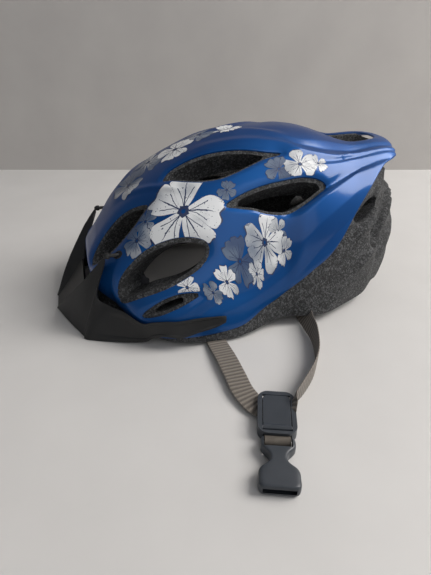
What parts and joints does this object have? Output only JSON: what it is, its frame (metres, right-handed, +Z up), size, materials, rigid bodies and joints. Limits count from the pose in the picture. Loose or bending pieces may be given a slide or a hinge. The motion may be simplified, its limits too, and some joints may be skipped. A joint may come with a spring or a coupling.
{
  "type": "cycling helmet",
  "caption": "Vented cycling helmet: glossy skin over a foam liner, plug-in visor, rear dial fit system, chin straps with dividers and a side-release buckle.",
  "frame": {"origin": "on the table plane, under the centre of the helmet's head opening", "axes": "-Y to the front, +X to the wearer's left, +Z up"},
  "size_m": [0.493, 0.337, 0.1516],
  "materials": {
    "shell_skin": "glossy metallic blue skin with a pale floral print",
    "foam": "expanded bead foam, matte charcoal",
    "visor_plastic": "fine matte black",
    "grommet_plastic": "moulded matte",
    "pad_fabric": "brushed knit over soft foam",
    "fit_plastic": "satin moulded",
    "knob_rubber": "ribbed soft-touch rubber",
    "anchor_plastic": "satin moulded",
    "webbing": "ribbed woven webbing, grey",
    "buckle_plastic": "satin dark blue-grey",
    "pin_steel": "drawn steel"
  },
  "bodies": {
    "helmet": {"outer_shell": "shell_skin", "foam_liner": "foam", "peg_grommet_left": "grommet_plastic", "peg_grommet_right": "grommet_plastic", "pad_brow": "pad_fabric", "pad_crown": "pad_fabric", "pad_left": "pad_fabric", "pad_right": "pad_fabric", "pad_rear_left": "pad_fabric", "pad_rear_right": "pad_fabric", "side_band_left": "fit_plastic", "side_band_right": "fit_plastic", "cradle": "fit_plastic", "dial_housing": "fit_plastic", "anchor_front_left": "anchor_plastic", "anchor_rear_left": "anchor_plastic", "anchor_front_right": "anchor_plastic", "anchor_rear_right": "anchor_plastic", "strap_front_left": "webbing", "strap_rear_left": "webbing", "strap_front_right": "webbing", "strap_rear_right": "webbing", "divider_left": "buckle_plastic", "divider_right": "buckle_plastic", "flap_pin_left": "pin_steel", "flap_pin_right": "pin_steel", "buckle_web_left": "webbing", "buckle_web_right": "webbing", "buckle_socket": "buckle_plastic", "buckle_plug": "buckle_plastic"},
    "visor": {"visor": "visor_plastic", "visor_peg_left": "visor_plastic", "visor_peg_right": "visor_plastic"},
    "dial": {"dial_knob": "knob_rubber", "dial_pinion": "fit_plastic"},
    "rack_left": {"rack_left": "fit_plastic"},
    "rack_right": {"rack_right": "fit_plastic"},
    "flap_left": {"flap_left": "buckle_plastic"},
    "flap_right": {"flap_right": "buckle_plastic"}
  },
  "joints": [
    {"name": "visor_pull", "type": "slide", "parent": "helmet", "child": "visor", "axis": [0, -1, 0], "range_m": [0, 0.009]},
    {"name": "dial_turn", "type": "hinge", "parent": "helmet", "child": "dial", "pos_m": [0, 0.1, 0.0125], "axis": [0, -1, 0], "range_deg": [0, 90]},
    {"name": "rack_left_slide", "type": "slide", "parent": "helmet", "child": "rack_left", "axis": [-1, 0, 0], "range_m": [0, 0.0073]},
    {"name": "rack_right_slide", "type": "slide", "parent": "helmet", "child": "rack_right", "axis": [1, 0, 0], "range_m": [0, 0.0073]},
    {"name": "flap_left_hinge", "type": "hinge", "parent": "helmet", "child": "flap_left", "pos_m": [0.20584, -0.05036, 0.0063], "axis": [0.3665, 0.9304, 0], "range_deg": [0, 75]},
    {"name": "flap_right_hinge", "type": "hinge", "parent": "helmet", "child": "flap_right", "pos_m": [-0.20584, -0.05036, 0.0063], "axis": [0.3665, -0.9304, 0], "range_deg": [0, 75]}
  ],
  "couplings": [
    {"joint": "rack_left_slide", "follows": "dial_turn", "m_per_rad": 0.0045837},
    {"joint": "rack_right_slide", "follows": "dial_turn", "m_per_rad": 0.0045837}
  ]
}
